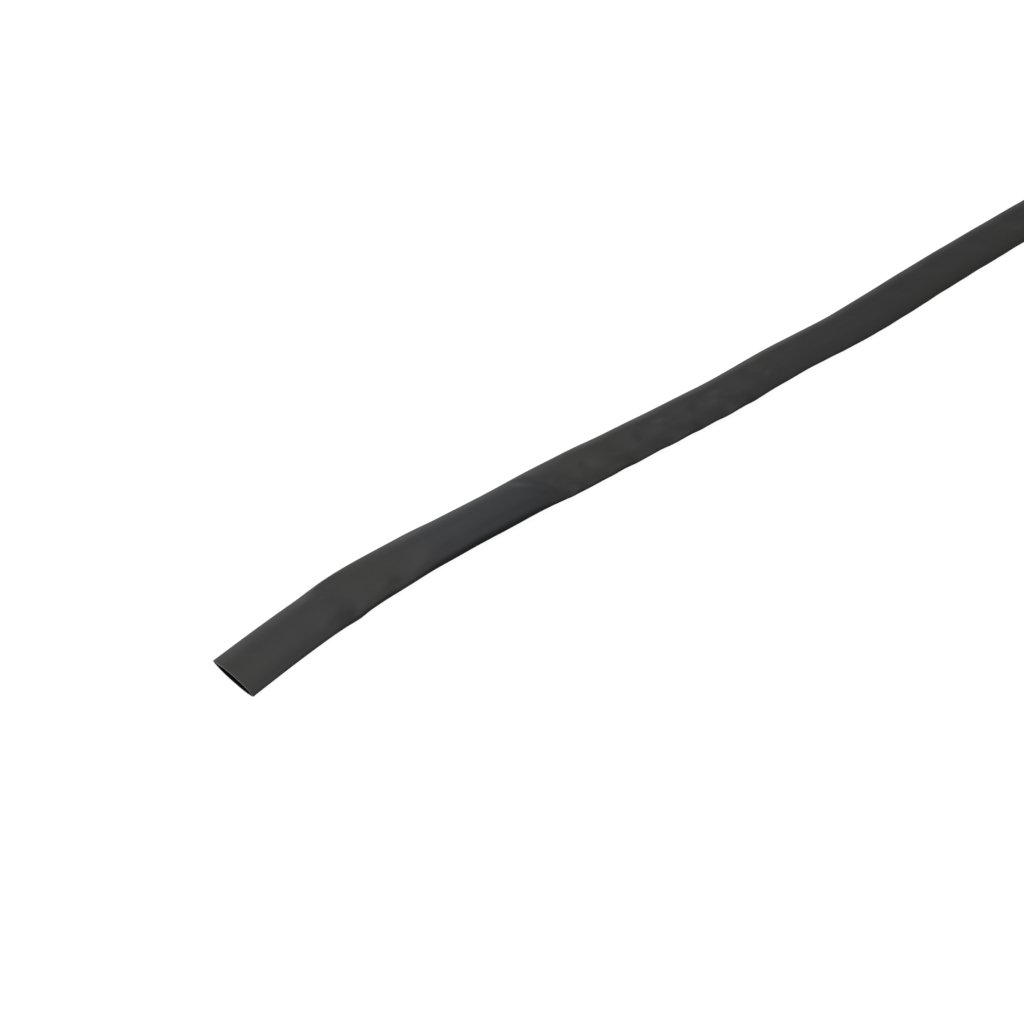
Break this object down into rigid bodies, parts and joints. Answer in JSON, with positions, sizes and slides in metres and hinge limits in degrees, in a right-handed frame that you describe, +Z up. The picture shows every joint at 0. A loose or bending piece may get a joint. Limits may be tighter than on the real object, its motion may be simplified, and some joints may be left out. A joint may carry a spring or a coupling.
{
  "type": "heat shrink tube",
  "caption": "Black heat shrink sleeve, expanded and stored pressed flat, with open lens-shaped ends and shallow dents along its length.",
  "frame": {"origin": "middle of the underside's bounding box, on the floor that the sleeve lies on", "axes": "+X along the sleeve from the cut end that shows in the picture to the far end, +Z up, away from the floor"},
  "size_m": [1.0014, 0.0418, 0.0121],
  "materials": {
    "black_polyolefin": "matt extruded polyolefin with a faint sheen, lighter along its folds"
  },
  "bodies": {
    "root": {"heat_shrink_tube": "black_polyolefin"}
  },
  "joints": []
}
